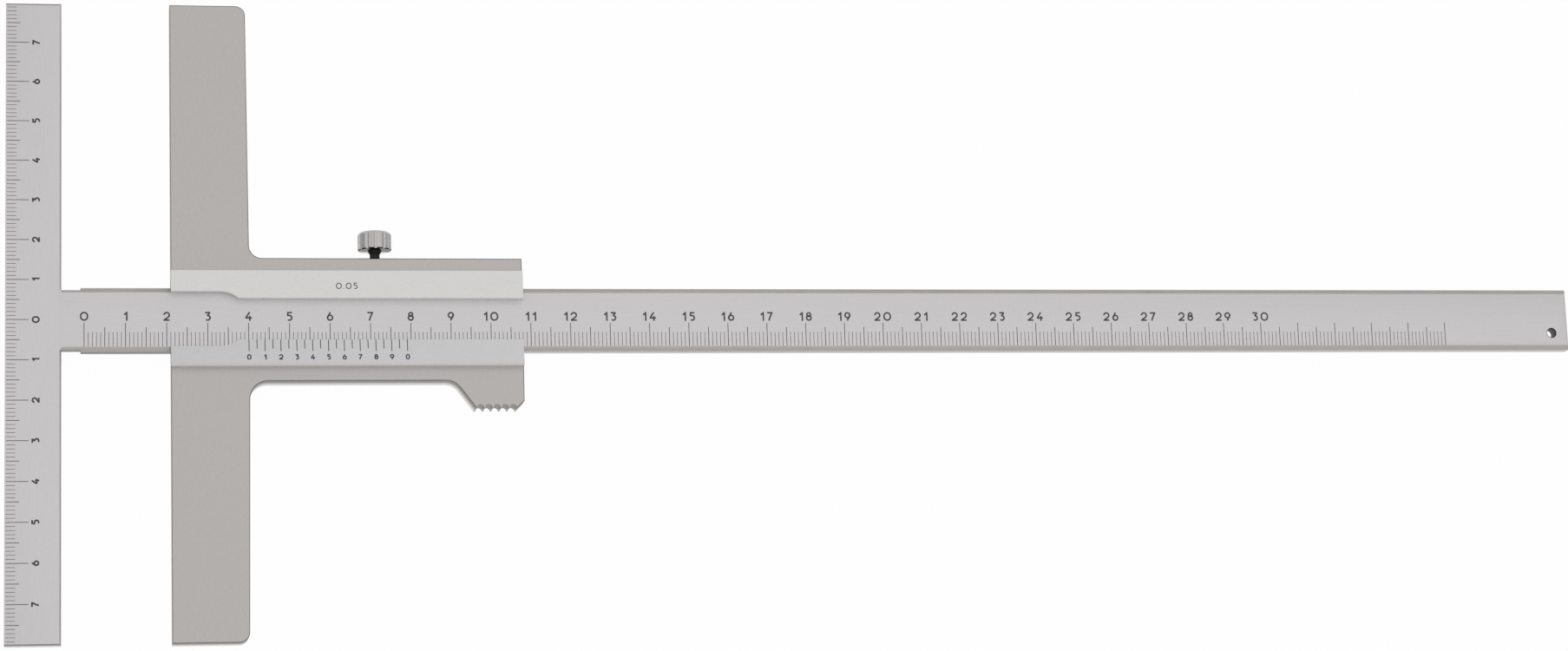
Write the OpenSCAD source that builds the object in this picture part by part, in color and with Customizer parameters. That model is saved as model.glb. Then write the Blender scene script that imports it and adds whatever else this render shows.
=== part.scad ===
// Marking caliper: a vernier slider with a long bridge runs on a graduated beam
// whose end carries a graduated crossbar. X runs along the beam, Y across it, Z is up.
// It lies on its back, with the scales facing up.

/* [Beam] */
// Width of the beam
beam_w = 16; // [15:0.5:18]
// Thickness of the beam, and of the crossbar that lies flush with it
beam_t = 3.5; // [3:0.1:4.5]
// From the zero line of the main scale to the free end
beam_reach = 384; // [340:1:480]
// Width of the bevel along both front edges, seen from above
beam_bevel_w = 1.2; // [0.4:0.1:1.4]
// Depth of that bevel
beam_bevel_d = 0.7; // [0.3:0.1:1.4]
// Bevel across the front edge of the free end
beam_end_bevel = 0.4; // [0.1:0.1:1]
// Width of the neck and tongue that enter the crossbar
neck_w = 14.9; // [12:0.1:14.9]
// From the crossbar to the shoulder where the beam is full width
neck_l = 4.6; // [2:0.1:8]
// Thickness of the tongue under the crossbar
tongue_t = 1.8; // [1.5:0.1:2]
// How far the tongue reaches into the crossbar
tongue_l = 11; // [9:0.5:12.5]
// Diameter of the hanging hole
hang_hole_d = 2.3; // [1.5:0.1:3.5]
// From the free end to the middle of the hanging hole
hang_hole_inset = 4.55; // [3:0.05:10]
// From the beam's centre line down to the middle of the hanging hole
hang_hole_drop = 3.55; // [0:0.05:4.5]

/* [Crossbar] */
// Length of the crossbar
cross_l = 160; // [120:2:220]
// Width of the crossbar
cross_w = 13.5; // [13:0.1:16]
// From the marking edge of the crossbar to the zero line of the main scale
mark_offset = 19; // [18:0.5:30]
// Edge break on the inner edge and both ends of the crossbar
cross_edge = 0.4; // [0.1:0.1:0.8]

/* [Crossbar screws] */
// Diameter of the two screws through the tongue
tongue_screw_d = 2.5; // [2:0.1:3]
// Diameter of their countersunk heads
tongue_screw_head_d = 4.7; // [4:0.1:5.5]
// Distance between them, across the beam
tongue_screw_gap = 8; // [6:0.5:9]
// Depth to which they reach into the crossbar
tongue_screw_grip = 1.1; // [0.6:0.1:1.1]
// Width of the slot in their heads
slot_w = 0.6; // [0.4:0.1:0.8]
// Depth of that slot
slot_d = 0.4; // [0.2:0.1:0.5]

/* [Slider body] */
// Length of the slider along the beam
slider_l = 87; // [86:1:110]
// Width of the slider body across the beam
slider_w = 31; // [30:0.5:36]
// Reading of the vernier in the pose that is modelled
reading = 40; // [20:1:200]
// Thickness of the slider's back wall, behind the beam
back_t = 2.6; // [2:0.1:4]
// Thickness of the lips over the beam
lip_t = 2; // [1.6:0.1:3]
// Rise of the lips' band above the bridge and the edges
band_rise = 1.8; // [0.8:0.1:1.8]
// Width of the raised band across the beam
band_w = 24; // [22:0.2:26]

/* [Bridge] */
// Length of the bridge across the beam
bridge_l = 160; // [120:2:220]
// Width of the bridge at the slider body
bridge_root_w = 19.2; // [18.7:0.1:26]
// Width of the bridge at its tips
bridge_tip_w = 18.7; // [15:0.1:19.2]
// From the centre line to where the bridge starts to narrow
bridge_taper_start = 22; // [21:1:40]
// Radius of the outer corners at the tips
bridge_tip_r = 2.5; // [1:0.1:6]
// Radius between bridge and body on the lock screw's side
upper_fillet_r = 3.2; // [1:0.1:5]
// Radius between bridge and body on the thumb rest's side
lower_fillet_r = 4.4; // [1:0.1:5]

/* [Window] */
// Width of the window between the two lips
window_w = 10.2; // [8:0.2:11.4]
// Width of the milled mouth at the bridge's end of the window
mouth_w = 13.6; // [12:0.2:14]
// From the bridge's working face to the centre of the mouth's round end
mouth_l = 12; // [8:0.5:16]
// Thickness of the vernier lip at its thin edge
vernier_edge_t = 0.4; // [0.2:0.1:1]
// Flat rim that is left outside the vernier lip's slope
vernier_rim = 0.5; // [0.2:0.1:1.5]

/* [Thumb rest] */
// How far the thumb rest stands out below the slider body
thumb_drop = 6.8; // [4:0.1:9]
// Angle of the slope that leads to it
thumb_angle = 53; // [35:1:65]
// Radius where the slope leaves the slider body
thumb_fillet_r = 4.5; // [1:0.5:5]
// Number of tips on the serrated edge
thumb_tips = 6; // [4:1:7]
// Pitch of the serrations
thumb_pitch = 2.04; // [1.6:0.02:2.1]
// Width of the flat left on each tip
thumb_tip_flat = 0.3; // [0.1:0.05:0.6]
// Bevel at the outer corner of the thumb rest
thumb_corner = 1.7; // [0.5:0.1:2.5]

/* [Brake] */
// From the bridge's working face to the lock screw
lock_offset = 50.4; // [48:0.1:51.5]
// Length of the brake strip
strip_l = 70; // [50:1:70]
// Thickness of the brake strip
strip_t = 1.2; // [0.8:0.1:1.2]
// Height of the brake strip
strip_h = 3.2; // [2.8:0.1:3.5]
// Length of the leaf spring
spring_l = 44; // [30:1:50]
// Thickness of the leaf spring
spring_t = 0.3; // [0.2:0.05:0.4]
// Height of the bow of the leaf spring
spring_bow = 0.3; // [0.15:0.05:0.5]
// Depth of the dimple in the strip that the pressure pad enters
dimple_d = 0.5; // [0.3:0.1:0.6]
// Diameter of the pressure pad's nose
pad_nose_d = 1.8; // [1.4:0.1:1.9]
// Gap round the nose in the leaf spring and in the dimple
pad_gap = 0.2; // [0.1:0.05:0.25]
// Length of the pressure pad's thicker part in the screw's bore
pad_head_l = 1; // [0.6:0.1:1.6]

/* [Lock screw] */
// Diameter of the stud
stud_d = 2.5; // [2:0.1:2.5]
// Diameter of the stud's neck where it meets the knob
stud_collar_d = 3.6; // [2.8:0.1:4.5]
// Length of the tapered part of the neck
stud_taper_l = 0.9; // [0.4:0.1:1.4]
// Gap between the slider body and the knob when the screw is tight
knob_gap = 2.2; // [1.6:0.1:4]
// Diameter of the knob
knob_d = 8.4; // [7:0.1:12]
// Height of the knob
knob_h = 4.6; // [4:0.1:8]
// Bevel round the top of the knob
knob_top_bevel = 0.6; // [0.2:0.1:0.9]
// Bevel round the underside of the knob
knob_low_bevel = 0.25; // [0.1:0.05:0.5]
// Number of flutes round the knob
flute_count = 12; // [8:1:16]
// Diameter of the cutter that makes each flute
flute_d = 1.4; // [1:0.1:1.4]
// Depth of each flute
flute_depth = 0.22; // [0.1:0.02:0.3]
// Diameter of the spigot that is pressed into the knob
spigot_d = 2.5; // [2:0.1:3]
// Length of that spigot
spigot_l = 3; // [2:0.1:3.2]

/* [Fits] */
// Gap between the beam and the slider, front and back
face_gap = 0.1; // [0.05:0.01:0.15]
// Gap between the beam's edges and what guides them
edge_gap = 0.05; // [0.03:0.01:0.1]
// Gap round fixed pieces in their seats
seat_gap = 0.03; // [0.02:0.01:0.05]
// Radial gap of the lock screw in its bore
stud_gap = 0.05; // [0.03:0.01:0.08]

/* [Hidden] */
$fn = 64;
// How far every cut runs past the face it opens
overrun = 1;
// Straight pieces that stand for the leaf spring's bow
bow_steps = 16;
// Bevel at the mouth of the lock screw's bore
bore_lead = 0.3;
// Bevel on the ends of the brake strip, towards the beam
strip_lead = 0.4;

// How deep the cutter that leaves the thumb rest's fillet bites past the faces it joins
fillet_bite = 0.01;

// Heights, from the back of the slider up
beam_z = back_t + face_gap;
beam_top = beam_z + beam_t;
lip_z = beam_top + face_gap;
band_top = lip_z + lip_t;
plate_t = band_top - band_rise;
lock_z = beam_z + beam_t / 2;

// Places along the beam, from the main scale's zero line
cross_x = -mark_offset;
neck_x = cross_x + cross_w;
shoulder_x = neck_x + neck_l;
slider_x = reading - mark_offset;
lock_x = slider_x + lock_offset;
tongue_screw_x = neck_x - tongue_l / 2;
// The frame's origin lies under the middle of the whole length
origin_x = (beam_reach - mark_offset) / 2;

// Places along the slider, from the bridge's working face
thumb_row_end = slider_l - thumb_corner;
thumb_toe_x = thumb_row_end - (thumb_tips - 1) * thumb_pitch - thumb_tip_flat;
thumb_foot_x = thumb_toe_x - thumb_drop / tan(thumb_angle);
thumb_reach = (thumb_fillet_r - fillet_bite) * tan(thumb_angle / 2);

// Places across the beam, from its centre line
guide_y = beam_w / 2 + edge_gap;
strip_y = guide_y;
strip_top = strip_y + strip_t;
pocket_y = strip_top + edge_gap + spring_bow + spring_t + edge_gap;
bore_d = stud_d + 2 * stud_gap;
pad_hole_d = pad_nose_d + 2 * pad_gap;
pad_nose_y = strip_top - dimple_d + edge_gap;
pad_head_y = pocket_y + edge_gap;
stud_y = pad_head_y + pad_head_l + edge_gap;
knob_y = slider_w / 2 + knob_gap;

// Puts a piece that is drawn from the main scale's zero line into the frame
module placed() {
    translate([-origin_x, 0, 0]) children();
}

// A solid whose outline is drawn across the beam (Y, Z) and that runs along X
module along_x(from, to) {
    translate([from, 0, 0])
        rotate([90, 0, 90])
            linear_extrude(height = to - from)
                children();
}

// A round bar along Y
module along_y(from, to, d1, d2) {
    translate([0, from, 0])
        rotate([-90, 0, 0])
            cylinder(h = to - from, d1 = d1, d2 = d2);
}

// A bar between two corners
module bar(low, high) {
    translate(low) cube(high - low);
}

// Countersunk screw, head down at z = 0
module countersunk(d, head_d, length, extra) {
    cylinder(h = (head_d - d) / 2, d1 = head_d + 2 * extra, d2 = d + 2 * extra);
    cylinder(h = length + extra, d = d + 2 * extra);
}

// The same screw with the slot in its head
module slotted_screw(d, head_d, length) {
    difference() {
        countersunk(d, head_d, length, 0);
        bar([-head_d, -slot_w / 2, -overrun], [head_d, slot_w / 2, slot_d]);
    }
}

// Places of the two screws through the tongue
module at_tongue_screws() {
    for (side = [-1, 1])
        translate([tongue_screw_x, side * tongue_screw_gap / 2, beam_z]) children();
}

module beam_section() {
    half = beam_w / 2;
    shoulder = beam_t - beam_bevel_d;
    polygon([[-half, 0], [half, 0], [half, shoulder], [half - beam_bevel_w, beam_t],
             [beam_bevel_w - half, beam_t], [-half, shoulder]]);
}

module beam_bar() {
    translate([0, 0, beam_z]) {
        along_x(shoulder_x, beam_reach) beam_section();
        along_x(neck_x, shoulder_x) intersection() {
            beam_section();
            translate([-neck_w / 2, 0]) square([neck_w, beam_t]);
        }
    }
    bar([neck_x - tongue_l, -neck_w / 2, beam_z], [shoulder_x, neck_w / 2, beam_z + tongue_t]);
}

module beam() {
    color([0.77, 0.76, 0.75]) placed() difference() {
        beam_bar();
        translate([beam_reach - hang_hole_inset, -hang_hole_drop, beam_z - overrun])
            cylinder(h = beam_t + 2 * overrun, d = hang_hole_d);
        at_tongue_screws() {
            countersunk(tongue_screw_d, tongue_screw_head_d, tongue_t + overrun, seat_gap);
        }
        translate([beam_reach, 0, beam_top]) rotate([0, 45, 0])
            cube([beam_end_bevel * sqrt(2), beam_w + 2 * overrun, beam_end_bevel * sqrt(2)],
                 center = true);
    }
}

module crossbar() {
    half = cross_l / 2;
    color([0.77, 0.76, 0.75]) placed() difference() {
        translate([0, 0, beam_z]) intersection() {
            translate([cross_x, half, 0]) rotate([90, 0, 0]) linear_extrude(height = cross_l)
                polygon([[0, 0], [cross_w, 0], [cross_w, beam_t - cross_edge],
                         [cross_w - cross_edge, beam_t], [0, beam_t]]);
            along_x(cross_x - overrun, neck_x + overrun)
                polygon([[-half, 0], [half, 0], [half, beam_t - cross_edge],
                         [half - cross_edge, beam_t], [cross_edge - half, beam_t],
                         [-half, beam_t - cross_edge]]);
        }
        bar([neck_x - tongue_l - seat_gap, -neck_w / 2 - seat_gap, beam_z - overrun],
            [neck_x + overrun, neck_w / 2 + seat_gap, beam_z + tongue_t]);
        at_tongue_screws() {
            cylinder(h = tongue_t + tongue_screw_grip + seat_gap,
                     d = tongue_screw_d + 2 * seat_gap);
        }
    }
}

module crossbar_screws() {
    color([0.66, 0.66, 0.67]) placed() at_tongue_screws()
        slotted_screw(tongue_screw_d, tongue_screw_head_d, tongue_t + tongue_screw_grip);
}

// What is left of a square corner when a round one replaces it
module corner(r) {
    difference() {
        square(r);
        circle(r);
    }
}

// Plan of the bridge, with its working face at x = 0
module bridge_plan() {
    half = bridge_l / 2;
    bend = half - bridge_tip_r;
    difference() {
        polygon([[0, -half], [bridge_tip_w, -half], [bridge_tip_w, -bend],
                 [bridge_root_w, -bridge_taper_start], [bridge_root_w, bridge_taper_start],
                 [bridge_tip_w, bend], [bridge_tip_w, half], [0, half]]);
        for (side = [0, 1])
            mirror([0, side]) translate([bridge_tip_w - bridge_tip_r, bend]) corner(bridge_tip_r);
    }
}

// Plan of the thumb rest: a slope, a row of round notches and a bevelled outer corner
module thumb_plan() {
    low = slider_w / 2 + thumb_drop;
    difference() {
        polygon([[thumb_foot_x, -slider_w / 2], [thumb_toe_x, -low], [thumb_row_end, -low],
                 [slider_l, thumb_corner - low], [slider_l, 0], [thumb_foot_x, 0]]);
        for (i = [0 : thumb_tips - 2])
            translate([thumb_row_end - thumb_tip_flat / 2 - (i + 0.5) * thumb_pitch, -low])
                circle(d = thumb_pitch - thumb_tip_flat);
    }
    translate([thumb_foot_x, -slider_w / 2])
        polygon([[-thumb_reach, overrun], [-thumb_reach, 0],
                 [thumb_reach * cos(thumb_angle), -thumb_reach * sin(thumb_angle)],
                 [thumb_reach * cos(thumb_angle), overrun]]);
}

// Plan of the whole slider body, with its working face at x = 0
module slider_plan() {
    difference() {
        union() {
            bridge_plan();
            translate([0, -slider_w / 2]) square([slider_l, slider_w]);
            thumb_plan();
        }
        translate([thumb_foot_x - thumb_reach, fillet_bite - slider_w / 2 - thumb_fillet_r])
            circle(thumb_fillet_r);
    }
    translate([bridge_root_w + upper_fillet_r, slider_w / 2 + upper_fillet_r])
        rotate(180) corner(upper_fillet_r);
    translate([bridge_root_w + lower_fillet_r, -slider_w / 2 - lower_fillet_r])
        rotate(90) corner(lower_fillet_r);
}

// Plan of the window: a slot over the whole length, opened to a wider mouth with a round end
module window_plan() {
    translate([-overrun, -window_w / 2]) square([slider_l + 2 * overrun, window_w]);
    translate([-overrun, -mouth_w / 2]) square([mouth_l + overrun, mouth_w]);
    translate([mouth_l, 0]) circle(d = mouth_w);
}

// The undercut channel for the beam, wider on one side for the brake strip and its spring
module slider_channel() {
    bar([-overrun, -guide_y, back_t], [slider_l + overrun, pocket_y, lip_z]);
}

// The slope of the vernier lip, down to its thin edge at the window
module vernier_slope() {
    outer = -band_w / 2 + vernier_rim;
    along_x(-overrun, slider_l + overrun)
        polygon([[outer, band_top], [-window_w / 2, lip_z + vernier_edge_t],
                 [0, lip_z + vernier_edge_t], [0, band_top + overrun],
                 [outer, band_top + overrun]]);
}

module slider_body() {
    color([0.7, 0.69, 0.68]) placed() translate([slider_x, 0, 0]) difference() {
        union() {
            linear_extrude(height = plate_t) slider_plan();
            bar([0, -band_w / 2, 0], [slider_l, band_w / 2, band_top]);
        }
        slider_channel();
        translate([0, 0, lip_z - face_gap])
            linear_extrude(height = lip_t + face_gap + overrun) window_plan();
        vernier_slope();
        translate([lock_offset, 0, lock_z]) {
            along_y(beam_w / 2, slider_w / 2 + overrun, bore_d, bore_d);
            along_y(slider_w / 2 - bore_lead, slider_w / 2, bore_d, bore_d + 2 * bore_lead);
        }
    }
}

module brake_strip() {
    half = strip_l / 2;
    color([0.8, 0.66, 0.36]) placed() translate([lock_x, strip_y, lock_z]) difference() {
        translate([0, 0, -strip_h / 2]) linear_extrude(height = strip_h)
            polygon([[strip_lead - half, 0], [half - strip_lead, 0], [half, strip_lead],
                     [half, strip_t], [-half, strip_t], [-half, strip_lead]]);
        along_y(strip_t - dimple_d, strip_t + overrun, pad_hole_d, pad_hole_d);
    }
}

// Height of the spring's bow above the strip at a place from -1 (one end) to 1 (the other)
function bow_y(s) = spring_bow * s * s;

module leaf_spring() {
    half = spring_l / 2;
    places = [for (i = [0 : bow_steps]) 2 * i / bow_steps - 1];
    inner = [for (s = places) [half * s, bow_y(s)]];
    outer = [for (s = places) [-half * s, bow_y(s) + spring_t]];
    color([0.55, 0.57, 0.6]) placed()
        translate([lock_x, strip_top + edge_gap, lock_z]) difference() {
            translate([0, 0, -strip_h / 2])
                linear_extrude(height = strip_h) polygon(concat(inner, outer));
            along_y(-overrun, overrun, pad_hole_d, pad_hole_d);
        }
}

module pressure_pad() {
    color([0.8, 0.66, 0.36]) placed() translate([lock_x, 0, lock_z]) {
        along_y(pad_nose_y, pad_head_y + pad_head_l, pad_nose_d, pad_nose_d);
        along_y(pad_head_y, pad_head_y + pad_head_l, stud_d, stud_d);
    }
}

module lock_stud() {
    color([0.1, 0.1, 0.1]) placed() translate([lock_x, 0, lock_z]) {
        along_y(stud_y, knob_y, stud_d, stud_d);
        along_y(knob_y - stud_taper_l, knob_y, stud_d, stud_collar_d);
        along_y(knob_y, knob_y + spigot_l, spigot_d, spigot_d);
    }
}

// Plan of the knob: a disc with flutes round it
module knob_plan() {
    difference() {
        circle(d = knob_d);
        for (i = [0 : flute_count - 1])
            rotate(i * 360 / flute_count)
                translate([knob_d / 2 + flute_d / 2 - flute_depth, 0]) circle(d = flute_d);
    }
}

module lock_knob() {
    r = knob_d / 2;
    color([0.78, 0.77, 0.76]) placed()
        translate([lock_x, knob_y, lock_z]) rotate([-90, 0, 0]) difference() {
            intersection() {
                linear_extrude(height = knob_h) knob_plan();
                rotate_extrude()
                    polygon([[0, 0], [r - knob_low_bevel, 0], [r, knob_low_bevel],
                             [r, knob_h - knob_top_bevel], [r - knob_top_bevel, knob_h],
                             [0, knob_h]]);
            }
            translate([0, 0, -overrun])
                cylinder(h = spigot_l + seat_gap + overrun, d = spigot_d + 2 * seat_gap);
        }
}

beam();
crossbar();
crossbar_screws();
slider_body();
brake_strip();
leaf_spring();
pressure_pad();
lock_stud();
lock_knob();
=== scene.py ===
# %% [markdown]
# # A marking caliper on a white bench
# A long graduated beam carries a graduated crossbar at one end. A slider with a long bridge runs on
# the beam, a vernier on the slider's lower lip divides the millimetres, and a small fluted screw
# holds the slider where it is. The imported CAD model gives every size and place. This lesson gives
# the steel its finishes and engraves the scales.

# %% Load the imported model
import math

import bmesh
import bpy
from mathutils import Matrix, Vector


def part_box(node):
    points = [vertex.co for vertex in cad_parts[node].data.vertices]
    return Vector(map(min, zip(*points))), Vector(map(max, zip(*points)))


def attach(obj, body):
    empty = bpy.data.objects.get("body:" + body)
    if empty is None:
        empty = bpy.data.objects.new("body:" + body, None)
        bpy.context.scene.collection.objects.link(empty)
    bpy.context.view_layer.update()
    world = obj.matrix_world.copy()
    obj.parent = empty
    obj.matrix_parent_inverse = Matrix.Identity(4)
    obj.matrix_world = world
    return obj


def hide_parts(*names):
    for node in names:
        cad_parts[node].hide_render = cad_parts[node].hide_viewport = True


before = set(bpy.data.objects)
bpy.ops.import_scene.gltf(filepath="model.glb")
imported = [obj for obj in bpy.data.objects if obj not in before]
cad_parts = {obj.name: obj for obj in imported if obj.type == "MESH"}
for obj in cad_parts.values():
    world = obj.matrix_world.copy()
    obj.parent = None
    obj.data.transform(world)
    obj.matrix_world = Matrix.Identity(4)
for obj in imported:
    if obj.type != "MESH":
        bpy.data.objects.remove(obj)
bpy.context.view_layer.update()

MM = 0.001
print("CAD nodes:", ", ".join(sorted(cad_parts)))

# %% [markdown]
# ## The camera
# The scales on the tool are rulers, so the camera could be found by fitting it to their numbered
# lines. It stands almost a metre above the bench, a little below and to the left of the tool, and
# it leans and rolls slightly. Its place and three directions are written out, because a camera
# aimed by eye would miss the roll.

# %% Camera
CAMERA_PLACE = Vector((-183.73, -183.24, 945.22)) * MM
CAMERA_RIGHT = Vector((0.98356, -0.03451, 0.17728))
CAMERA_UP = Vector((0.00020, 0.98178, 0.19002))
CAMERA_BACK = Vector((-0.18060, -0.18686, 0.96564))
SENSOR_WIDTH, FOCAL_LENGTH, FARTHEST = 36, 88.154, 50

camera = bpy.data.objects.new("camera", bpy.data.cameras.new("camera"))
bpy.context.scene.collection.objects.link(camera)
camera.data.sensor_fit = "HORIZONTAL"
camera.data.sensor_width = SENSOR_WIDTH
camera.data.lens = FOCAL_LENGTH
camera.data.clip_end = FARTHEST
turned = Matrix((CAMERA_RIGHT, CAMERA_UP, CAMERA_BACK)).transposed()
camera.matrix_world = Matrix.Translation(CAMERA_PLACE) @ turned.to_4x4()
bpy.context.scene.camera = camera
bpy.context.scene.view_settings.view_transform = "Standard"
print("Camera height above the bench in mm:", round(CAMERA_PLACE.z / MM))

# %% [markdown]
# ## Shader sums as plain sums
# A node tree is easier to read as an expression. This class wraps one socket. A sum or a product
# on it adds a Math node, and every other node comes from the one method `node`, which sets the
# node's settings first and then fills or links its sockets.

# %% Shader helper
class Shade:
    def __init__(self, tree, socket=None):
        self.tree, self.socket = tree, socket

    def node(self, kind, settings=None, sockets=None, out=0):
        made = self.tree.nodes.new(kind)
        for key, value in (settings or {}).items():
            setattr(made, key, value)
        for key, value in (sockets or {}).items():
            if isinstance(value, Shade):
                self.tree.links.new(value.socket, made.inputs[key])
            else:
                made.inputs[key].default_value = value
        return Shade(self.tree, made.outputs[out] if made.outputs else None)

    def math(self, operation, *values):
        return self.node("ShaderNodeMath", {"operation": operation}, dict(enumerate(values)))

    def __add__(self, other):
        return self.math("ADD", self, other)

    def __sub__(self, other):
        return self.math("SUBTRACT", self, other)

    def __rsub__(self, other):
        return self.math("SUBTRACT", other, self)

    def __mul__(self, other):
        return self.math("MULTIPLY", self, other)

    __radd__ = __add__
    __rmul__ = __mul__


def new_material(name):
    material = bpy.data.materials.new(name)
    material.use_nodes = True
    material.node_tree.nodes.clear()
    return material, Shade(material.node_tree)


def end_with(start, surface):
    start.node("ShaderNodeOutputMaterial", sockets={"Surface": surface})


# %% [markdown]
# ## The bench
# The tool lies on a plain white bench. The bench is a diffuse white for the light that falls on it,
# so it keeps a soft shadow. What the camera and the metal see of it is mostly a white glow of
# strength 1. Stronger lamps would make it as white, but they would burn out the steel as well.

# %% Bench
BENCH_GLOW, BENCH_HALF, BENCH_DROP = 0.97, 12, 0.05 * MM
BENCH_WHITE, PURE_WHITE = (0.93, 0.93, 0.93, 1), (1, 1, 1, 1)
bench_mesh = bpy.data.meshes.new("bench")
bm = bmesh.new()
bmesh.ops.create_grid(bm, x_segments=1, y_segments=1, size=BENCH_HALF,
                      matrix=Matrix.Translation((0, 0, -BENCH_DROP)))
bm.to_mesh(bench_mesh)
bm.free()
bench = bpy.data.objects.new("bench", bench_mesh)
bpy.context.scene.collection.objects.link(bench)

white, start = new_material("bench_white")
camera_ray, glossy_ray, through_ray = [
    start.node("ShaderNodeLightPath", out=f"Is {name} Ray")
    for name in ("Camera", "Glossy", "Transmission")]
seen = start.math("MAXIMUM", start.math("MAXIMUM", camera_ray, glossy_ray), through_ray)
matt = start.node("ShaderNodeBsdfDiffuse", sockets={"Color": BENCH_WHITE})
glow = start.node("ShaderNodeEmission", sockets={"Color": PURE_WHITE, "Strength": 1.0})
end_with(start, start.node("ShaderNodeMixShader",
                           sockets={0: seen * BENCH_GLOW, 1: matt, 2: glow}))
bench_mesh.materials.append(white)
print("Bench made, glow share", BENCH_GLOW)

# %% [markdown]
# ## The light
# The room is bright overhead and greyer towards the horizon, and the camera itself sees it as plain
# white. One large softbox hangs where flat steel mirrors it to the camera. So faces that look up
# are bright, and bevels, broken edges and the round of the knob are darker. A small softbox on the
# left adds a weak fill. Both are aimed at the middle of the tool.

# %% Light
HORIZON, ZENITH = 0.40, 0.72
OVERHEAD_PLACE, OVERHEAD_SIZE, OVERHEAD_POWER = (0.36, 0.30, 1.5), 2.0, 5.4
FILL_PLACE, FILL_SIZE, FILL_POWER = (-1.3, 0.3, 0.9), 0.8, 1.5
world = bpy.data.worlds.new("room")
bpy.context.scene.world = world
world.use_nodes = True
world.node_tree.nodes.clear()
start = Shade(world.node_tree)
camera_ray = start.node("ShaderNodeLightPath", out="Is Camera Ray")
way = start.node("ShaderNodeTexCoord", out="Generated")
height = start.node("ShaderNodeSeparateXYZ", sockets={"Vector": way}, out="Z")
level = height.math("MAXIMUM", height, 0.0) * (ZENITH - HORIZON) + HORIZON
background = start.node("ShaderNodeBackground", sockets={
    "Color": PURE_WHITE, "Strength": camera_ray * (1 - level) + level})
start.node("ShaderNodeOutputWorld", sockets={"Surface": background})


def softbox(name, place, size, power):
    lamp = bpy.data.lights.new(name, "AREA")
    lamp.shape = "SQUARE"
    lamp.size, lamp.energy = size, power
    holder = bpy.data.objects.new(name, lamp)
    bpy.context.scene.collection.objects.link(holder)
    turn = (-Vector(place)).to_track_quat("-Z", "Y")
    holder.matrix_world = Matrix.LocRotScale(Vector(place), turn, None)


softbox("overhead", OVERHEAD_PLACE, OVERHEAD_SIZE, OVERHEAD_POWER)
softbox("left_fill", FILL_PLACE, FILL_SIZE, FILL_POWER)
print("Room level from", HORIZON, "at the horizon to", ZENITH, "overhead")

# %% [markdown]
# ## The steel recipe
# Every steel here is one recipe with its own colour, gloss and grain. The grain is a noise that is
# stretched along the way the wheel or the file ran: fine lines in the colour, in the roughness and
# as a very shallow bump. A second, larger noise gives the cloudiness that handled steel has, and a
# third, very fine one a speckle. Object coordinates are in metres, so a scale of 1000 is one wave
# per millimetre. A steel may also fade to its own colour from another one along an axis. An image
# of steel would show its own edges and its own light, and a noise has neither.

# %% Steel recipe
SPECK_SCALE, SPECK_DEPTH = 2600.0, 0.05
GLOSS_BY_GRAIN, GLOSS_BY_CLOUD = 0.05, 0.06
BUMP_STRENGTH, BUMP_DEPTH, GRAIN_IN_BUMP = 0.25, 0.03 * MM, 0.7
# A Mix node has several sockets of one name, so its colour sockets are found by number.
MIX_FIRST, MIX_SECOND, MIX_RESULT = 6, 7, 2


def noise(start, place, scale, detail, roughness):
    return start.node("ShaderNodeTexNoise", {"noise_dimensions": "3D"}, {
        "Vector": place, "Scale": scale, "Detail": detail, "Roughness": roughness})


def swing(wave, depth):
    return (wave - 0.5) * (2 * depth)


def steel(name, colour, roughness, along, across=9000, lengthwise=150,
          grain_depth=0.10, cloud_depth=0.05, cloud_scale=140, metallic=1.0, fade=None):
    material, start = new_material(name)
    place = start.node("ShaderNodeTexCoord", out="Object")
    stretch = {"X": (lengthwise, across, across), "Y": (across, lengthwise, across),
               "Z": (across, across, lengthwise), "none": (across, across, across)}[along]
    lines = start.node("ShaderNodeMapping", {"vector_type": "POINT"},
                       {"Vector": place, "Scale": stretch})
    grain = noise(start, lines, scale=1.0, detail=2.0, roughness=0.6)
    cloud = noise(start, place, cloud_scale, detail=3.0, roughness=0.55)
    speck = noise(start, place, SPECK_SCALE, detail=1.0, roughness=0.5)
    level = 1 + swing(grain, grain_depth) + swing(cloud, cloud_depth) + swing(speck, SPECK_DEPTH)
    # A fade paints light and shade into the colour: along the axis it turns from a lighter painted
    # reflection to painted shade, or back.
    if fade:
        other, axis, begin, length = fade
        reach = start.node("ShaderNodeSeparateXYZ", sockets={"Vector": place}, out=axis)
        colour = start.node("ShaderNodeMix", {"data_type": "RGBA"}, {
            "Factor": (reach - begin) * (1 / length),
            MIX_FIRST: (*other, 1), MIX_SECOND: (*colour, 1)}, out=MIX_RESULT)
    shaded = start.node("ShaderNodeVectorMath", {"operation": "SCALE"},
                        {0: colour, "Scale": level})
    height = grain * GRAIN_IN_BUMP + speck * (1 - GRAIN_IN_BUMP)
    bump = start.node("ShaderNodeBump", sockets={
        "Strength": BUMP_STRENGTH, "Distance": BUMP_DEPTH, "Height": height})
    gloss = swing(grain, GLOSS_BY_GRAIN) + swing(cloud, GLOSS_BY_CLOUD) + roughness
    end_with(start, start.node("ShaderNodeBsdfPrincipled", sockets={
        "Base Color": shaded, "Metallic": metallic, "Roughness": gloss, "Normal": bump}))
    return material
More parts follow.
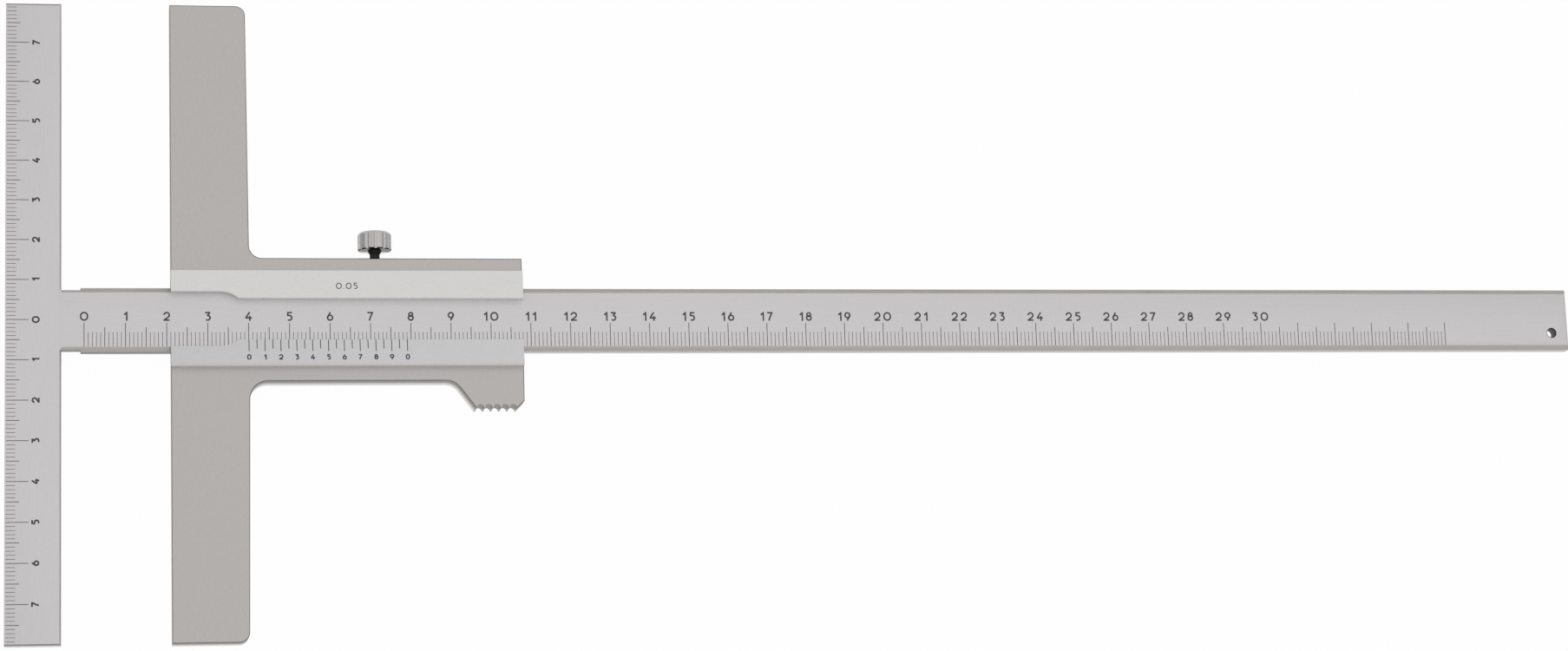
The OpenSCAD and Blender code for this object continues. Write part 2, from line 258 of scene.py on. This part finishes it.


# %% [markdown]
# ## The caliper's steels
# The faces of beam and crossbar are satin, the slider is blasted to a matt grey, and its lips are
# ground. Side faces are where the tool mirrors its surroundings, and here those reflections are
# painted into their colour. The slider's near sides get a painted reflection of the bench low down
# and painted shade for the darker room above it, so they fade with height. The beam's near side is
# a painted reflection too, with painted shade beside the crossbar. The sides that look away from
# the camera are plainer and darker, since a bright one would glow against the bench. Broken edges
# get painted shade, and the crossbar's inward one a painted highlight.

# %% The caliper's steels
FACE = (0.575, 0.56, 0.565)
# Painted highlight on the crossbar's inward broken edge.
PAINTED_EDGE_HIGHLIGHT = (0.67, 0.64, 0.615)
SIDE = (0.42, 0.40, 0.385)
# Painted reflection of the bench, on the slider's near sides low down and on the crossbar's near
# side.
PAINTED_BENCH_REFLECTION = (0.70, 0.69, 0.68)
# Painted shade, on the slider's near sides high up and on the teeth of the thumb rest.
PAINTED_SIDE_SHADE = (0.25, 0.245, 0.24)
# Painted reflection: the beam's near side is painted lighter than its far side.
PAINTED_NEAR_REFLECTION = (0.52, 0.51, 0.50)
# Painted shade on the upper part of the slider's far sides.
PAINTED_FAR_SHADE = (0.28, 0.27, 0.26)
PLATE = (0.50, 0.48, 0.465)
LIP = (0.60, 0.595, 0.585)
SLOPE = (0.64, 0.63, 0.64)
BEVEL = (0.615, 0.59, 0.572)
RIM = (0.52, 0.51, 0.50)
# Painted light: the walls of the lips stand in shade, and this near white lightens them.
PAINTED_WALL_LIGHT = (0.97, 0.96, 0.95)
# Painted shade on the beam's near side beside the crossbar.
PAINTED_BEAM_SHADE = (0.16, 0.155, 0.15)
# Painted shade on broken edges: a dark line, lighter on the near side, darkest on the far side.
PAINTED_EDGE_SHADE = (0.29, 0.28, 0.275)
PAINTED_NEAR_EDGE_SHADE = (0.48, 0.47, 0.46)
PAINTED_FAR_EDGE_SHADE = (0.11, 0.105, 0.10)
# Painted shade in the hanging hole, on its wall and its rim.
PAINTED_HOLE_SHADE = (0.085, 0.085, 0.09)

# The beam's painted shade reaches along x to the first place and fades out over the second length.
BEAM_SHADE_UNTIL, BEAM_SHADE_FADE = -150 * MM, 30 * MM
# The slider's near sides show the painted reflection up to the first height and fade to painted
# shade over the second.
NEAR_LIT, NEAR_FADE = 2.2 * MM, 1.8 * MM
# The slider's far sides stay lighter up to the first height and fade to painted shade over the
# second.
FAR_LIT, FAR_FADE = 1.6 * MM, 1.6 * MM
FILED = {"along": "Z", "across": 4000, "lengthwise": 500}

beam_face = steel("beam_face", FACE, 0.42, "X")
beam_bevel = steel("beam_bevel", BEVEL, 0.41, "X")
# The beam's near side: a painted reflection, with painted shade beside the crossbar.
beam_side = steel("beam_side", PAINTED_NEAR_REFLECTION, 0.38, "X", fade=(PAINTED_BEAM_SHADE, "X", BEAM_SHADE_UNTIL, BEAM_SHADE_FADE))
beam_far = steel("beam_far", SIDE, 0.42, "X")
# The hanging hole's wall and rim: painted shade.
painted_hole_wall = steel("painted_hole_wall", PAINTED_HOLE_SHADE, 0.5, "Z", across=3000, lengthwise=600)
bar_face = steel("bar_face", FACE, 0.42, "Y")
# The crossbar's broken edges: a painted highlight inward, painted shade at the marking edge and the
# far end.
bar_edge = steel("bar_edge", PAINTED_EDGE_HIGHLIGHT, 0.40, "Y")
bar_arris = steel("bar_arris", PAINTED_EDGE_SHADE, 0.45, "Y")
bar_side = steel("bar_side", SIDE, 0.45, "Y")
# The crossbar's near side is a painted reflection of the bench, and its near broken edges a lighter
# painted shade.
bar_near_arris = steel("bar_near_arris", PAINTED_NEAR_EDGE_SHADE, 0.42, "X")
bar_near_side = steel("bar_near_side", PAINTED_BENCH_REFLECTION, 0.42, "X")
plate_face = steel("plate_face", PLATE, 0.50, "Y", across=2600, lengthwise=700, cloud_depth=0.07)
lip_face = steel("lip_face", LIP, 0.34, "X", grain_depth=0.06)
slope_face = steel("slope_face", SLOPE, 0.38, "X", grain_depth=0.06)
# The walls of the lips: glossy, with painted light where they stand in shade.
band_wall = steel("band_wall", PAINTED_WALL_LIGHT, 0.12, "X", grain_depth=0.03)
# The slider's broken edges: painted shade, darkest on the far side.
slider_edge = steel("slider_edge", PAINTED_EDGE_SHADE, 0.45, "X")
slider_far_edge = steel("slider_far_edge", PAINTED_FAR_EDGE_SHADE, 0.45, "X")
rim_face = steel("rim_face", RIM, 0.42, "X", grain_depth=0.06)
# The slider's near sides: a painted reflection of the bench low down, fading to painted shade
# above.
slider_side = steel("slider_side", PAINTED_SIDE_SHADE, 0.45, **FILED,
                    fade=(PAINTED_BENCH_REFLECTION, "Z", NEAR_LIT, NEAR_FADE))
# The teeth of the thumb rest: painted shade.
tooth_face = steel("tooth_face", PAINTED_SIDE_SHADE, 0.45, **FILED)
# The slider's far sides: lighter low down, fading to painted shade above.
far_side = steel("far_side", PAINTED_FAR_SHADE, 0.45, **FILED, fade=(SIDE, "Z", FAR_LIT, FAR_FADE))
print("Steel finishes:", len(bpy.data.materials) - 1)

# %% [markdown]
# ## Copies of the CAD pieces
# A ground steel edge is never knife sharp. It has a small bevel that shows as a thin line, and
# without it metal looks like paper. Most of these bevels also get painted shade, and the crossbar's
# inward one a painted highlight. The CAD solids are left as they are, so each large piece is a copy
# of its CAD mesh. Its loose triangles are merged and its flat faces are joined again. The finished
# copy stands for the CAD node and stays inside its outline, and each of its faces takes the finish
# that a function picks by the face's place and by the way it looks; that is also where painted
# light and shade are given. Those functions compare places in millimetres, so their values are
# plain numbers. What is handed to Blender is in metres, so such a value is written with its unit,
# MM.

# %% Copying a CAD piece
CURVED = math.radians(12)
MERGE_WITHIN, FLAT_WITHIN = 0.002 * MM, math.radians(0.6)


def put(name, bm, body, materials, choose=None):
    mesh = bpy.data.meshes.new(name)
    for edge in bm.edges:
        edge.smooth = edge.calc_face_angle(0) < CURVED
    for face in bm.faces:
        face.smooth = True
        if choose:
            finish = choose(face.calc_center_median() / MM, face.normal)
            face.material_index = materials.index(finish)
    bm.to_mesh(mesh)
    bm.free()
    for material in materials:
        mesh.materials.append(material)
    piece = bpy.data.objects.new(name, mesh)
    bpy.context.scene.collection.objects.link(piece)
    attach(piece, body)
    return piece


def cad_copy(node):
    bm = bmesh.new()
    bm.from_mesh(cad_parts[node].data)
    bmesh.ops.remove_doubles(bm, verts=bm.verts, dist=MERGE_WITHIN)
    bmesh.ops.dissolve_limit(bm, angle_limit=FLAT_WITHIN, verts=bm.verts, edges=bm.edges)
    return bm


# %% [markdown]
# ## The flush joint
# Where the beam's neck meets the crossbar the two were ground flush together, so no line shows
# there. In the CAD model the crossbar's broken edge runs on across the joint. So the crossbar's
# copy is cut at both ends of the joint, and the corners between the cuts are lifted to its face. A
# filler piece would do too, but it would leave a seam of its own.

# %% Filling the joint
NECK_HALF, RUN_OUT, BAR_BREAK, HAIR = 7.45, 0.05, 0.4, 0.01
CUT_WITHIN = 0.0001 * MM
joint_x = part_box("crossbar")[1].x / MM
top_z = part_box("crossbar")[1].z / MM


def near_joint(point, half):
    return (abs(point.y) < half + HAIR and abs(point.x - joint_x) < HAIR
            and point.z > top_z - BAR_BREAK - HAIR)


def flush_joint(bm):
    for y in (-NECK_HALF - RUN_OUT, -NECK_HALF, NECK_HALF, NECK_HALF + RUN_OUT):
        bmesh.ops.bisect_plane(bm, geom=bm.verts[:] + bm.edges[:] + bm.faces[:], dist=CUT_WITHIN,
                               plane_co=(0, y * MM, 0), plane_no=(0, 1, 0))
    filled = [v for v in bm.verts if near_joint(v.co / MM, NECK_HALF)]
    for v in filled:
        v.co.z = top_z * MM
    print("Corners filled at the joint:", len(filled))


# %% [markdown]
# ## Broken edges
# A Bevel modifier could break the edges too, with a weight on each. Bevelling in the mesh is
# shorter here: picked edges get a wider break first, in one flat step, and then all the other sharp
# edges get theirs in two. Nothing is bevelled at the flush joint.

# %% Breaking the edges
SHARP = math.radians(28)


def break_edges(bm, width, pick=None):
    edges = [e for e in bm.edges if e.is_manifold and e.is_convex
             and e.calc_face_angle(0) > SHARP and (pick is None or pick(e))
             and not all(near_joint(v.co / MM, NECK_HALF + RUN_OUT) for v in e.verts)]
    bmesh.ops.bevel(bm, geom=edges, offset=width, offset_type="OFFSET", affect="EDGES",
                    segments=1 if pick else 2, profile=0.5, material=-1, clamp_overlap=True)


def stand_in(node, name, body, width, materials, choose, wide=None, prepare=None):
    bm = cad_copy(node)
    faces = len(bm.faces)
    if prepare:
        prepare(bm)
    if wide:
        break_edges(bm, *wide)
    break_edges(bm, width)
    piece = put(name, bm, body, materials, choose)
    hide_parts(node)
    print(f"{name}: {faces} faces, {len(piece.data.polygons)} with broken edges")


# %% [markdown]
# ## Beam and crossbar
# Both have a satin front. The grain of the beam runs along it, and that of the crossbar along the
# crossbar. The beam's bevels show darker, and its two sides have a near and a far colour: the near
# one is a lighter painted reflection, with painted shade beside the crossbar. The crossbar's near
# side is a painted reflection of the bench as well. The crossbar's inner edge has a painted
# highlight where it is broken, and its marking edge and its far end a line of painted shade. The
# wall and the rim of the hanging hole are painted nearly black, as painted shade.

# %% Beam
beam_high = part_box("beam")[1]
HOLE_INSET, HOLE_DROP, HOLE_RIM = 4.55, 3.55, 1.5
FINE_BREAK, HOLE_BREAK = 0.08 * MM, 0.18 * MM
FLAT, TILTED = 0.97, 0.25
AWAY, AWAY_ALONG = 0.02, 0.99
hole_centre = Vector((beam_high.x / MM - HOLE_INSET, -HOLE_DROP))


def by_hole(point):
    return (point.to_2d() - hole_centre).length < HOLE_RIM


def hole_mouth(edge):
    ends = [v.co / MM for v in edge.verts]
    return all(by_hole(end) and end.z > beam_high.z / MM - HAIR for end in ends)


def looks_away(normal):
    return normal.y > AWAY or normal.x > AWAY_ALONG


def beam_finish(centre, normal):
    if abs(normal.z) > FLAT:
        return beam_face
    # Faces at the hanging hole take painted shade.
    if by_hole(centre):
        return painted_hole_wall
    if normal.z > TILTED:
        return beam_bevel
    return beam_far if looks_away(normal) else beam_side


stand_in("beam", "graduated_beam", "beam", FINE_BREAK,
         [beam_face, beam_bevel, beam_side, painted_hole_wall, beam_far],
         beam_finish, wide=(HOLE_BREAK, hole_mouth))

# %% Crossbar
BAR_FINE_BREAK, INWARD = 0.14 * MM, 0.2


def bar_finish(centre, normal):
    if abs(normal.z) > FLAT:
        return bar_face
    near = normal.y < -TILTED
    if normal.z < TILTED:
        return bar_near_side if near else bar_side
    if near:
        return bar_near_arris
    return bar_edge if normal.x > INWARD else bar_arris


stand_in("crossbar", "graduated_crossbar", "beam", BAR_FINE_BREAK,
         [bar_face, bar_edge, bar_arris, bar_side, bar_near_arris, bar_near_side],
         bar_finish, prepare=flush_joint)

# %% [markdown]
# ## Slider
# The slider is one piece of steel with several finishes. The bridge and the edges are blasted to a
# matt grey, the raised lips are ground bright, and the lower lip slopes down to the scale, with a
# flat rim left outside the slope. The walls of the lips are glossy and painted near white, as
# painted light where they stand in shade. The teeth of the thumb rest have painted shade, and the
# broken edges are lines of painted shade, darkest on the far side. The near sides are painted with
# the bench's reflection low down and painted shade above it. The piece is one mesh, so a face gets
# its finish, and its painted light and shade, by its place and by the way it looks. Faces picked
# by hand would be lost at a change of the CAD model.

# %% Slider
slider_low, slider_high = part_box("slider_body")
PLATE_TOP, BAND_TOP, BAND_HALF = 6.5, 8.3, 12.0
TEETH_LOW, TEETH_LEFT = -21, slider_low.x / MM + 40
PLATE_BREAK, UPWARD, ACROSS, STEEP = 0.25 * MM, 0.9, 0.9, 1


def on_teeth(point):
    return point.y < TEETH_LOW and point.x > TEETH_LEFT


def slider_finish(centre, normal):
    # A tooth facing the camera takes painted shade.
    if on_teeth(centre) and normal.y < -TILTED:
        return tooth_face
    in_band = abs(centre.y) < BAND_HALF + HAIR and centre.z > PLATE_TOP + 2 * HAIR
    if normal.z > UPWARD:
        if in_band and centre.y < 0:
            return rim_face if centre.z > BAND_TOP - 2 * HAIR else slope_face
        return lip_face if in_band else plate_face
    # The walls of the lips take their painted light.
    if in_band and abs(normal.x) < ACROSS:
        return band_wall
    if normal.z < -FLAT:
        return plate_face
    # A broken edge takes painted shade, darkest where it looks away.
    if normal.z > TILTED:
        return slider_far_edge if normal.y > TILTED else slider_edge
    return far_side if looks_away(normal) else slider_side


def plate_outline(edge):
    ends = [v.co / MM for v in edge.verts]
    on_top = all(abs(end.z - PLATE_TOP) < HAIR for end in ends)
    notched = all(on_teeth(end) for end in ends)
    return on_top and not notched and edge.calc_face_angle(0) > STEEP


stand_in("slider_body", "slider", "slider", FINE_BREAK,
         [plate_face, lip_face, slope_face, band_wall, slider_edge, slider_side,
          rim_face, tooth_face, far_side, slider_far_edge],
         slider_finish, wide=(PLATE_BREAK, plate_outline))
print("Slider length in mm:", round((slider_high.x - slider_low.x) / MM, 2))

# %% [markdown]
# ## The knob
# The lock screw's knob is satin chrome. Its underside has a painted reflection of the bench low
# down and painted shade above that, and its broken lower edge has painted shade as well. Its flutes
# are part of the CAD mesh, so only their sharp edges are broken here, since they are what the light
# plays on most.

# %% Knob
CHROME = (0.52, 0.505, 0.50)
# Painted shade on the knob's lower broken edge and underside, and a painted reflection of the bench
# low on the underside.
PAINTED_KNOB_SHADE = (0.05, 0.048, 0.047)
PAINTED_UNDER_SHADE = (0.06, 0.058, 0.057)
PAINTED_UNDER_REFLECTION = (0.80, 0.79, 0.78)
UNDER_LIT_TO, UNDER_FADE = 2.6 * MM, 1.4 * MM
KNOB_BREAK, UNDERNEATH, DOWNWARD = 0.06 * MM, -0.95, -0.3

knob_chrome = steel("knob_chrome", CHROME, 0.40, "Y", across=2500, lengthwise=900,
                    grain_depth=0.05, cloud_depth=0.03, cloud_scale=900)
knob_painted_shade = steel("knob_painted_shade", PAINTED_KNOB_SHADE, 0.45, "none", across=5000)
# The underside: a painted reflection of the bench low down, fading to painted shade above.
knob_painted_underside = steel("knob_painted_underside", PAINTED_UNDER_SHADE, 0.25, "none", across=5000, grain_depth=0.03,
                   fade=(PAINTED_UNDER_REFLECTION, "Z", UNDER_LIT_TO, UNDER_FADE))


def knob_finish(centre, normal):
    # The underside and the lower broken edge take painted shade.
    if normal.y < UNDERNEATH:
        return knob_painted_underside
    return knob_painted_shade if normal.y < DOWNWARD else knob_chrome


stand_in("lock_knob", "fluted_knob", "lock_screw", KNOB_BREAK,
         [knob_chrome, knob_painted_shade, knob_painted_underside], knob_finish)

# %% [markdown]
# ## Small parts
# The lock screw's stud is nearly black, and the two screws under the crossbar are turned steel.
# Inside the slider the brake strip and the pressure pad are brass and the spring is blued. They
# keep their CAD shapes and get finishes of their own, because their edges are small or hidden.

# %% Small parts
STUD_BLACK = (0.005, 0.005, 0.005)
TURNED = (0.50, 0.49, 0.48)
BLUED = (0.16, 0.18, 0.22)
BRASS = (0.70, 0.50, 0.20)
black_stud = steel("black_stud", STUD_BLACK, 0.5, "none", across=5000, metallic=0.3,
                    cloud_depth=0.2)
turned_steel = steel("turned_steel", TURNED, 0.35, "none", across=6000)
blued_steel = steel("blued_steel", BLUED, 0.35, "X")
brass = steel("machined_brass", BRASS, 0.34, "X")

for node, material, slot in (("lock_stud", black_stud, "black_steel"),
                             ("crossbar_screws", turned_steel, "screw_steel"),
                             ("leaf_spring", blued_steel, "spring_steel"),
                             ("brake_strip", brass, "brass"),
                             ("pressure_pad", brass, "brass")):
    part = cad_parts[node]
    part.data.materials.clear()
    part.data.materials.append(material)
print("Small parts finished")

# %% [markdown]
# ## Numerals drawn with a nib
# Engraved numerals have strokes of one width with round bends, like lines drawn with a flat nib.
# So the nib is a single edge. Going straight extrudes it, and bending spins it about the centre of
# the bend. At a sharp corner the nib is lifted and a new stroke begins. When all strokes of a
# numeral are drawn, they are given a thickness, so that each is a thin inlay in the steel. Where
# two strokes meet or cross, the later one lies a hair above the other. A font would be quicker, but
# its numerals are not the ones that are engraved on such a tool.

# %% The nib
LAYER, BEND_STEP = 0.002 * MM, 18


class Nib:
    def __init__(self, bm, width, x, y, heading, height):
        self.bm = bm
        self.place, self.heading = Vector((x, y, height)), math.radians(heading)
        side = self.side() * width / 2
        ends = [bm.verts.new(self.place - side), bm.verts.new(self.place + side)]
        self.edge = bm.edges.new(ends)

    def side(self):
        return Vector((-math.sin(self.heading), math.cos(self.heading), 0))

    def go(self, length):
        step = Vector((math.cos(self.heading), math.sin(self.heading), 0)) * length
        made = bmesh.ops.extrude_edge_only(self.bm, edges=[self.edge])["geom"]
        ends = [v for v in made if isinstance(v, bmesh.types.BMVert)]
        self.edge = next(e for e in made if isinstance(e, bmesh.types.BMEdge)
                         and set(e.verts) == set(ends))
        bmesh.ops.translate(self.bm, verts=ends, vec=step)
        self.place += step

    def bend(self, angle, radius):
        centre = self.place + self.side() * math.copysign(radius, angle)
        steps = max(2, math.ceil(abs(angle) / BEND_STEP))
        made = bmesh.ops.spin(self.bm, geom=[self.edge], cent=centre, axis=(0, 0, 1),
                              angle=math.radians(angle), steps=steps, use_merge=False)
        self.edge = next(e for e in made["geom_last"] if isinstance(e, bmesh.types.BMEdge))
        turn = Matrix.Rotation(math.radians(angle), 3, "Z")
        self.place = centre + turn @ (self.place - centre)
        self.heading += math.radians(angle)


# %% [markdown]
# ## The numerals
# Each numeral is written one unit high: first its width, and then its strokes. A stroke says where
# the nib is put down and which way it heads, and then lists straight runs and bends. A run is a
# length, and a bend is an angle and a radius. The three has the flat top and the one the bare stem
# that scales of this kind have. The nought of the vernier is narrower than the others.

# %% Numeral strokes
STROKES = {
    "narrow 0": (0.62, [((0, 0.31, 90), [0.38, (-180, 0.31), 0.38, (-180, 0.31)])]),
    "0": (0.86, [((0, 0.43, 90), [0.14, (-180, 0.43), 0.14, (-180, 0.43)])]),
    "1": (0.34, [((0, 0.70, 40), [0.42]), ((0.34, 1.10, -90), [1.20])]),
    "2": (0.67, [((0, 0.665, 90), [(-234, 0.335), 0.63]), ((-0.08, 0, 0), [0.80])]),
    "3": (0.60, [((-0.05, 1, 0), [0.67]), ((0.58, 0.98, -133), [0.49]),
                 ((0.20, 0.62, 0), [0.09, (-222, 0.31)])]),
    "4": (0.74, [((0.50, 1.06, -123), [0.89]), ((-0.05, 0.30, 0), [0.84]),
                 ((0.52, 0.56, -90), [0.66])]),
    "5": (0.62, [((0.66, 1, 180), [0.64]), ((0.13, 1, -98), [0.39]),
                 ((0.03, 0.62, 0), [0.28, (-215, 0.31)])]),
    "6": (0.66, [((0.37, 1.06, -116), [0.67, (40, 0.33)]), ((0, 0.33, -90), [(360, 0.33)])]),
    "7": (0.66, [((-0.06, 1, 0), [0.76]), ((0.62, 1, -118), [0.36, (14, 2.9), 0.10])]),
    "8": (0.62, [((0.06, 0.75, 90), [(-360, 0.25)]), ((0, 0.31, 90), [(-360, 0.31)])]),
    ".": (0.0, [((0, -0.04, 90), [0.10])]),
}
NIB_MERGE = 0.0005 * MM


def draw(strokes, tall, width):
    bm = bmesh.new()
    unit = tall - width
    for layer, ((x, y, heading), moves) in enumerate(strokes):
        nib = Nib(bm, width, x * unit, y * unit + width / 2, heading, layer * LAYER)
        for move in moves:
            if isinstance(move, tuple):
                nib.bend(move[0], move[1] * unit)
            else:
                nib.go(move * unit)
    return bm


def numeral(mark, tall, width):
    wide, strokes = STROKES["6" if mark == "9" else mark]
    bm = draw(strokes, tall, width)
    if mark == "9":
        middle = Vector((wide * (tall - width) / 2, tall / 2, 0))
        bmesh.ops.rotate(bm, verts=bm.verts, cent=middle,
                         matrix=Matrix.Rotation(math.pi, 3, "Z"))
    bmesh.ops.remove_doubles(bm, verts=bm.verts, dist=NIB_MERGE)
    raise_inlay(bm)
    mesh = bpy.data.meshes.new("numeral")
    bm.to_mesh(mesh)
    bm.free()
    return mesh, wide * (tall - width) + width


# %% [markdown]
# ## Inlays
# An inlay lies in the face of the steel: it starts a little below the face and ends a few
# thousandths of a millimetre above it, enough to show at every angle and too little to feel.
# Grooves would be truer, but hundreds of boolean cuts are slow and break easily.

# %% Inlays
INLAY_SUNK, INLAY_PROUD = 0.04 * MM, 0.006 * MM


def raise_inlay(bm):
    made = bmesh.ops.extrude_face_region(bm, geom=bm.faces[:])["geom"]
    tops = [v for v in made if isinstance(v, bmesh.types.BMVert)]
    bmesh.ops.translate(bm, verts=bm.verts, vec=(0, 0, -INLAY_SUNK))
    bmesh.ops.translate(bm, verts=tops, vec=(0, 0, INLAY_SUNK + INLAY_PROUD))
    bmesh.ops.recalc_face_normals(bm, faces=bm.faces)


def stamp(bm, mesh, matrix):
    count = len(bm.verts)
    bm.from_mesh(mesh)
    bm.verts.ensure_lookup_table()
    bmesh.ops.transform(bm, matrix=matrix, verts=bm.verts[count:])


def line(bm, matrix, x, y0, y1, width):
    thick = INLAY_SUNK + INLAY_PROUD
    middle = Matrix.Translation((x, (y0 + y1) / 2, (INLAY_PROUD - INLAY_SUNK) / 2))
    size = Matrix.Diagonal((width, abs(y1 - y0), thick, 1))
    bmesh.ops.create_cube(bm, size=1, matrix=matrix @ middle @ size)


# %% [markdown]
# ## Numbers
# A number is a row of numerals, set with their middle at one place. A style is its height, the
# width of its strokes and the gap between its numerals. Each numeral is drawn once for each style
# and then stamped wherever it occurs.

# %% Numbers
drawn = {}


def number(bm, matrix, text, x, y, style):
    tall, width, gap = style
    parts = []
    for mark in text:
        key = (mark, tall, width)
        if key not in drawn:
            drawn[key] = numeral(mark, tall, width)
        parts.append(drawn[key])
    total = sum(wide for _, wide in parts) + gap * (len(parts) - 1)
    left = x - total / 2
    for mesh, wide in parts:
        stamp(bm, mesh, matrix @ Matrix.Translation((left + width / 2, y, 0)))
        left += wide + gap


# %% [markdown]
# ## The black in the engraving
# The lines are filled with a dull black that has worn unevenly, so a fine noise varies its colour
# and its gloss.

# %% Engraving black
BLACK, PATCH_SCALE = (0.055, 0.055, 0.058), 1800.0
PATCH_DARKEST, PATCH_SWING = 0.4, 1.2
PATCH_GLOSS, GLOSS_SWING = 0.45, 0.3
ink, start = new_material("engraved_black")
place = start.node("ShaderNodeTexCoord", out="Object")
patchy = noise(start, place, PATCH_SCALE, detail=2.0, roughness=0.6)
shaded = start.node("ShaderNodeVectorMath", {"operation": "SCALE"},
                    {0: BLACK, "Scale": patchy * PATCH_SWING + PATCH_DARKEST})
end_with(start, start.node("ShaderNodeBsdfPrincipled", sockets={
    "Base Color": shaded, "Roughness": patchy * GLOSS_SWING + PATCH_GLOSS}))

# %% [markdown]
# ## The main scale
# The main scale counts from the zero line, 19 mm in from the crossbar's marking edge. Every
# millimetre has a line from the lower edge of the beam's face, longer at 5 and longest at 10. It is
# lined to 35 cm and numbered to 30. One loop and three lengths make all of it, because a real scale
# is cut by a machine that steps along in the same way.

# %% Main scale
MARK_OFFSET = 19 * MM
LINE_FINE, LINE_FULL = 0.12 * MM, 0.17 * MM
MAIN_LAST, MAIN_LAST_NUMBER = 350, 30
MAIN_FOOT, MAIN_TOPS = -6.75 * MM, (-0.83 * MM, -1.93 * MM, -3.15 * MM)
MAIN_NUMBER_Y, MAIN_STYLE = -0.35 * MM, (2.3 * MM, 0.40 * MM, 0.70 * MM)


def by_step(step, full, half, fine):
    return full if step % 10 == 0 else half if step % 5 == 0 else fine


zero_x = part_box("crossbar")[0].x + MARK_OFFSET
on_beam = Matrix.Translation((zero_x, 0, beam_high.z))
lines = bmesh.new()
for step in range(MAIN_LAST + 1):
    width = by_step(step, LINE_FULL, LINE_FULL, LINE_FINE)
    line(lines, on_beam, step * MM, MAIN_FOOT, by_step(step, *MAIN_TOPS), width)
put("main_scale_lines", lines, "beam", [ink])

numbers = bmesh.new()
for centimetre in range(MAIN_LAST_NUMBER + 1):
    number(numbers, on_beam, str(centimetre), centimetre * 10 * MM, MAIN_NUMBER_Y, MAIN_STYLE)
put("main_scale_numbers", numbers, "beam", [ink])
print("Main scale:", MAIN_LAST, "mm, numbered to", MAIN_LAST_NUMBER)

# %% [markdown]
# ## The crossbar's scale
# The crossbar's scale counts both ways from the middle, and its numbers are turned to be read from
# the side. So it is drawn like the main scale, along x, and the whole drawing is then turned by a
# quarter. Its lines begin close to the marking edge.

# %% Crossbar scale
BAR_LAST, BAR_LAST_NUMBER = 79, 7
BAR_FOOT, BAR_TOPS = -0.3 * MM, (-5.7 * MM, -3.5 * MM, -2.6 * MM)
BAR_NUMBER_Y, BAR_STYLE = -8.35 * MM, (1.95 * MM, 0.42 * MM, 0.60 * MM)
bar_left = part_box("crossbar")[0].x
on_bar = Matrix.Translation((bar_left, 0, beam_high.z)) @ Matrix.Rotation(math.pi / 2, 4, "Z")
lines = bmesh.new()
for step in range(-BAR_LAST, BAR_LAST + 1):
    width = by_step(step, LINE_FULL, LINE_FULL, LINE_FINE)
    line(lines, on_bar, step * MM, BAR_FOOT, by_step(step, *BAR_TOPS), width)
put("crossbar_scale_lines", lines, "beam", [ink])

numbers = bmesh.new()
for centimetre in range(-BAR_LAST_NUMBER, BAR_LAST_NUMBER + 1):
    number(numbers, on_bar, str(abs(centimetre)), centimetre * 10 * MM, BAR_NUMBER_Y, BAR_STYLE)
put("crossbar_scale_numbers", numbers, "beam", [ink])
print("Crossbar scale:", BAR_LAST, "mm each way, numbered to", BAR_LAST_NUMBER)

# %% [markdown]
# ## The vernier
# Twenty parts of the vernier span 39 mm of the main scale, so each is a twentieth of a millimetre
# short of two. It lies on the sloping lip. Its lines are drawn flat, with y = 0 at the lip's thin
# edge, and the whole drawing is then tilted onto the slope. The vernier rides on the slider, so it
# reads true wherever the slider stands.

# %% Vernier
SLOPE_INNER = Vector((-5.1, 6.7)) * MM
SLOPE_OUTER = Vector((-11.5, 8.3)) * MM
VERNIER_SPAN, VERNIER_PARTS = 39, 20
VERNIER_FOOT, VERNIER_EVEN, VERNIER_ODD = -0.02 * MM, -3.2 * MM, -2.5 * MM
VERNIER_LINE = 0.20 * MM
VERNIER_NUMBER_Y, VERNIER_STYLE = -5.5 * MM, (1.5 * MM, 0.33 * MM, 0.4 * MM)
fall = SLOPE_INNER - SLOPE_OUTER
tilt = math.atan2(fall.y, fall.x)
vernier_x = slider_low.x + MARK_OFFSET
on_slope = (Matrix.Translation((vernier_x, SLOPE_INNER.x, SLOPE_INNER.y))
            @ Matrix.Rotation(tilt, 4, "X"))
lines, numbers = bmesh.new(), bmesh.new()
for step in range(VERNIER_PARTS + 1):
    x = step * (VERNIER_SPAN / VERNIER_PARTS) * MM
    top = VERNIER_ODD if step % 2 else VERNIER_EVEN
    line(lines, on_slope, x, VERNIER_FOOT, top, VERNIER_LINE)
    if step % 2 == 0:
        mark = str(step // 2) if 0 < step < VERNIER_PARTS else "narrow 0"
        number(numbers, on_slope, [mark], x, VERNIER_NUMBER_Y, VERNIER_STYLE)
put("vernier_lines", lines, "slider", [ink])
put("vernier_numbers", numbers, "slider", [ink])
print("Vernier tilted by", round(math.degrees(tilt), 2), "degrees")

# %% [markdown]
# ## The reading
# The upper lip says what one part of the vernier is worth, in millimetres.

# %% Reading
READING_X, READING_Y = 43.1 * MM, 8.1 * MM
READING_DROP, READING_STYLE = -0.8 * MM, (1.6 * MM, 0.22 * MM, 0.4 * MM)
reading = bmesh.new()
on_lip = Matrix.Translation((slider_low.x + READING_X, READING_Y, BAND_TOP * MM))
number(reading, on_lip, "0.05", 0, READING_DROP, READING_STYLE)
put("vernier_reading", reading, "slider", [ink])
print("Inlays made, numerals drawn:", len(drawn))
